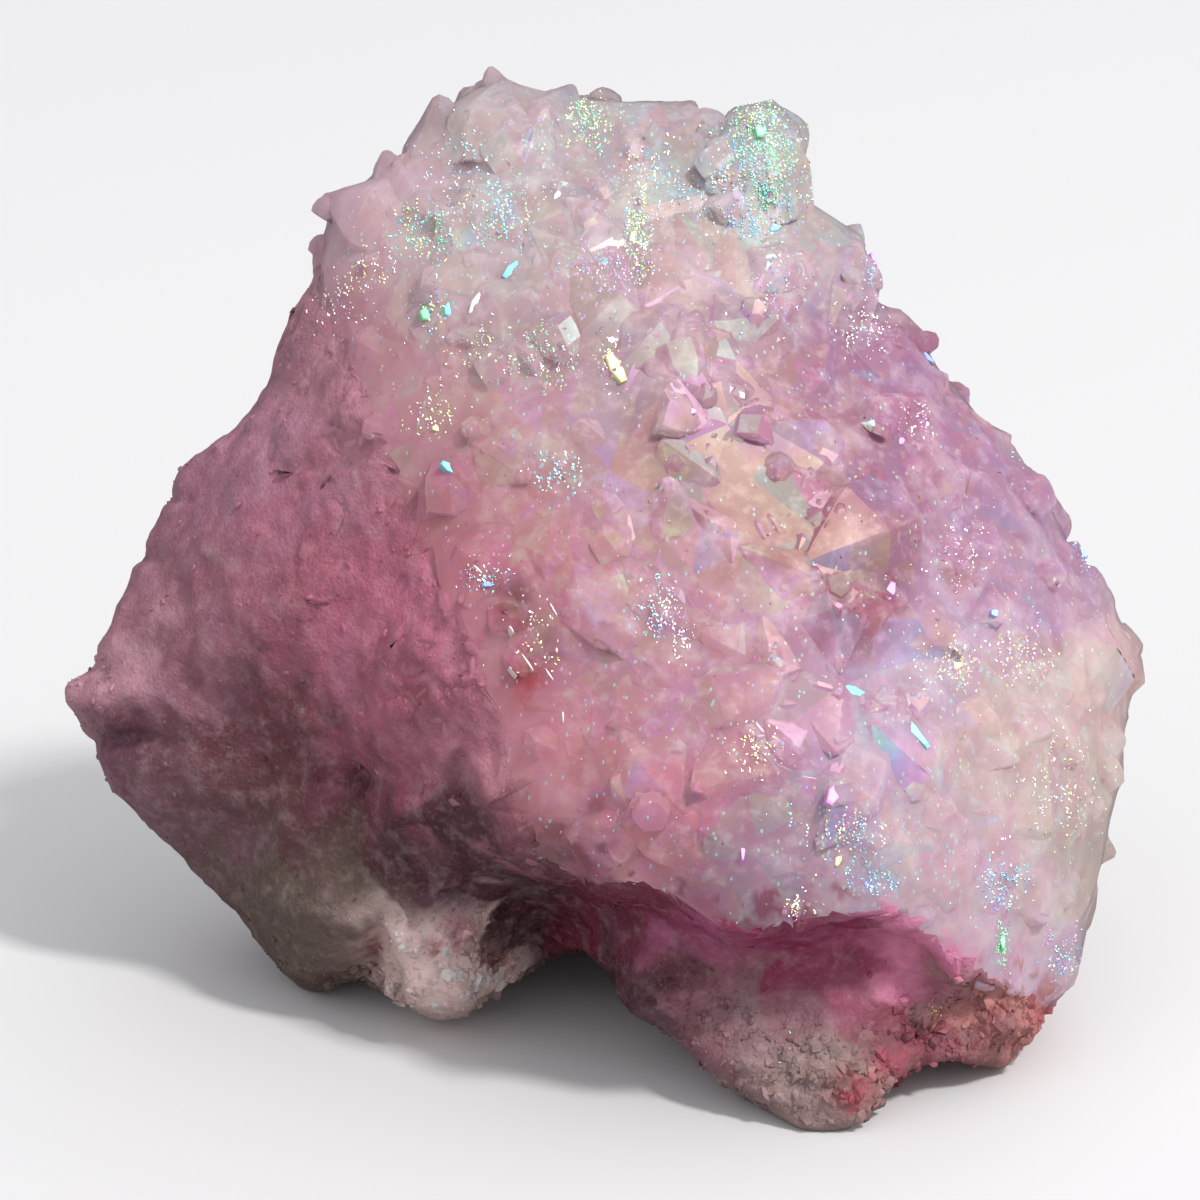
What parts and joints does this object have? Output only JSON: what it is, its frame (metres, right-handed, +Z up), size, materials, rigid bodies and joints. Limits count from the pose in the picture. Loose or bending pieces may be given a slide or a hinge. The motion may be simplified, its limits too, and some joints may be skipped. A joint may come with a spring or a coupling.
{
  "type": "crystal cluster",
  "caption": "Free-standing cluster of massive pink quartz with a crust of stubby, intergrown quartz points that have an iridescent vapour coating.",
  "frame": {"origin": "middle of the cluster's bounding box in X and Y, on the plane it rests on", "axes": "+Z up; +X to the right as seen from the front; -Y towards the viewer of the crystal face"},
  "size_m": [0.0954, 0.0626, 0.0815],
  "materials": {
    "aura_quartz": "milky pink quartz, glassy facets with a thin iridescent coating, sugary broken quartz underneath"
  },
  "bodies": {
    "root": {"quartz_cluster": "aura_quartz"}
  },
  "joints": []
}
